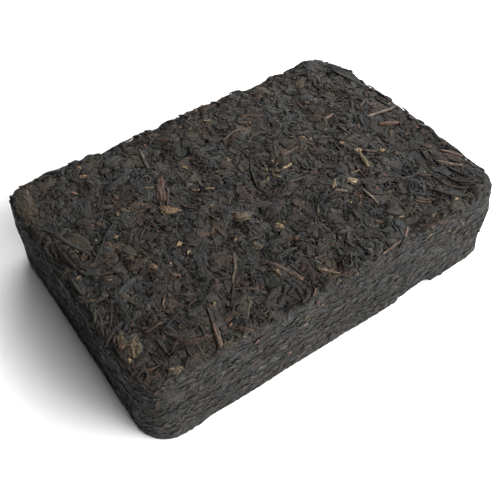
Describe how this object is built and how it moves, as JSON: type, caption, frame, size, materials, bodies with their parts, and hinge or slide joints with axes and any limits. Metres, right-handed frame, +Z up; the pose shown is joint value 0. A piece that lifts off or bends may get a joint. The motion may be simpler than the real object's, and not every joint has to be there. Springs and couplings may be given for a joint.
{
  "type": "pu-erh tea brick",
  "caption": "Rectangular block of dark pressed tea leaf with rounded corners, twisted leaf shreds standing out of its top, a flat underside and a worn lower edge.",
  "frame": {"origin": "middle of the flat underside", "axes": "+X along the length of the brick, +Y across it from the worn front side to the back, +Z up out of the top"},
  "size_m": [0.132, 0.092, 0.032],
  "materials": {
    "pressed_leaf": "matte",
    "leaf_shred": "matte",
    "brown_leaf": "matte",
    "stem": "matte",
    "golden_bud": "matte"
  },
  "bodies": {
    "root": {"tea_brick": "pressed_leaf"}
  },
  "joints": []
}
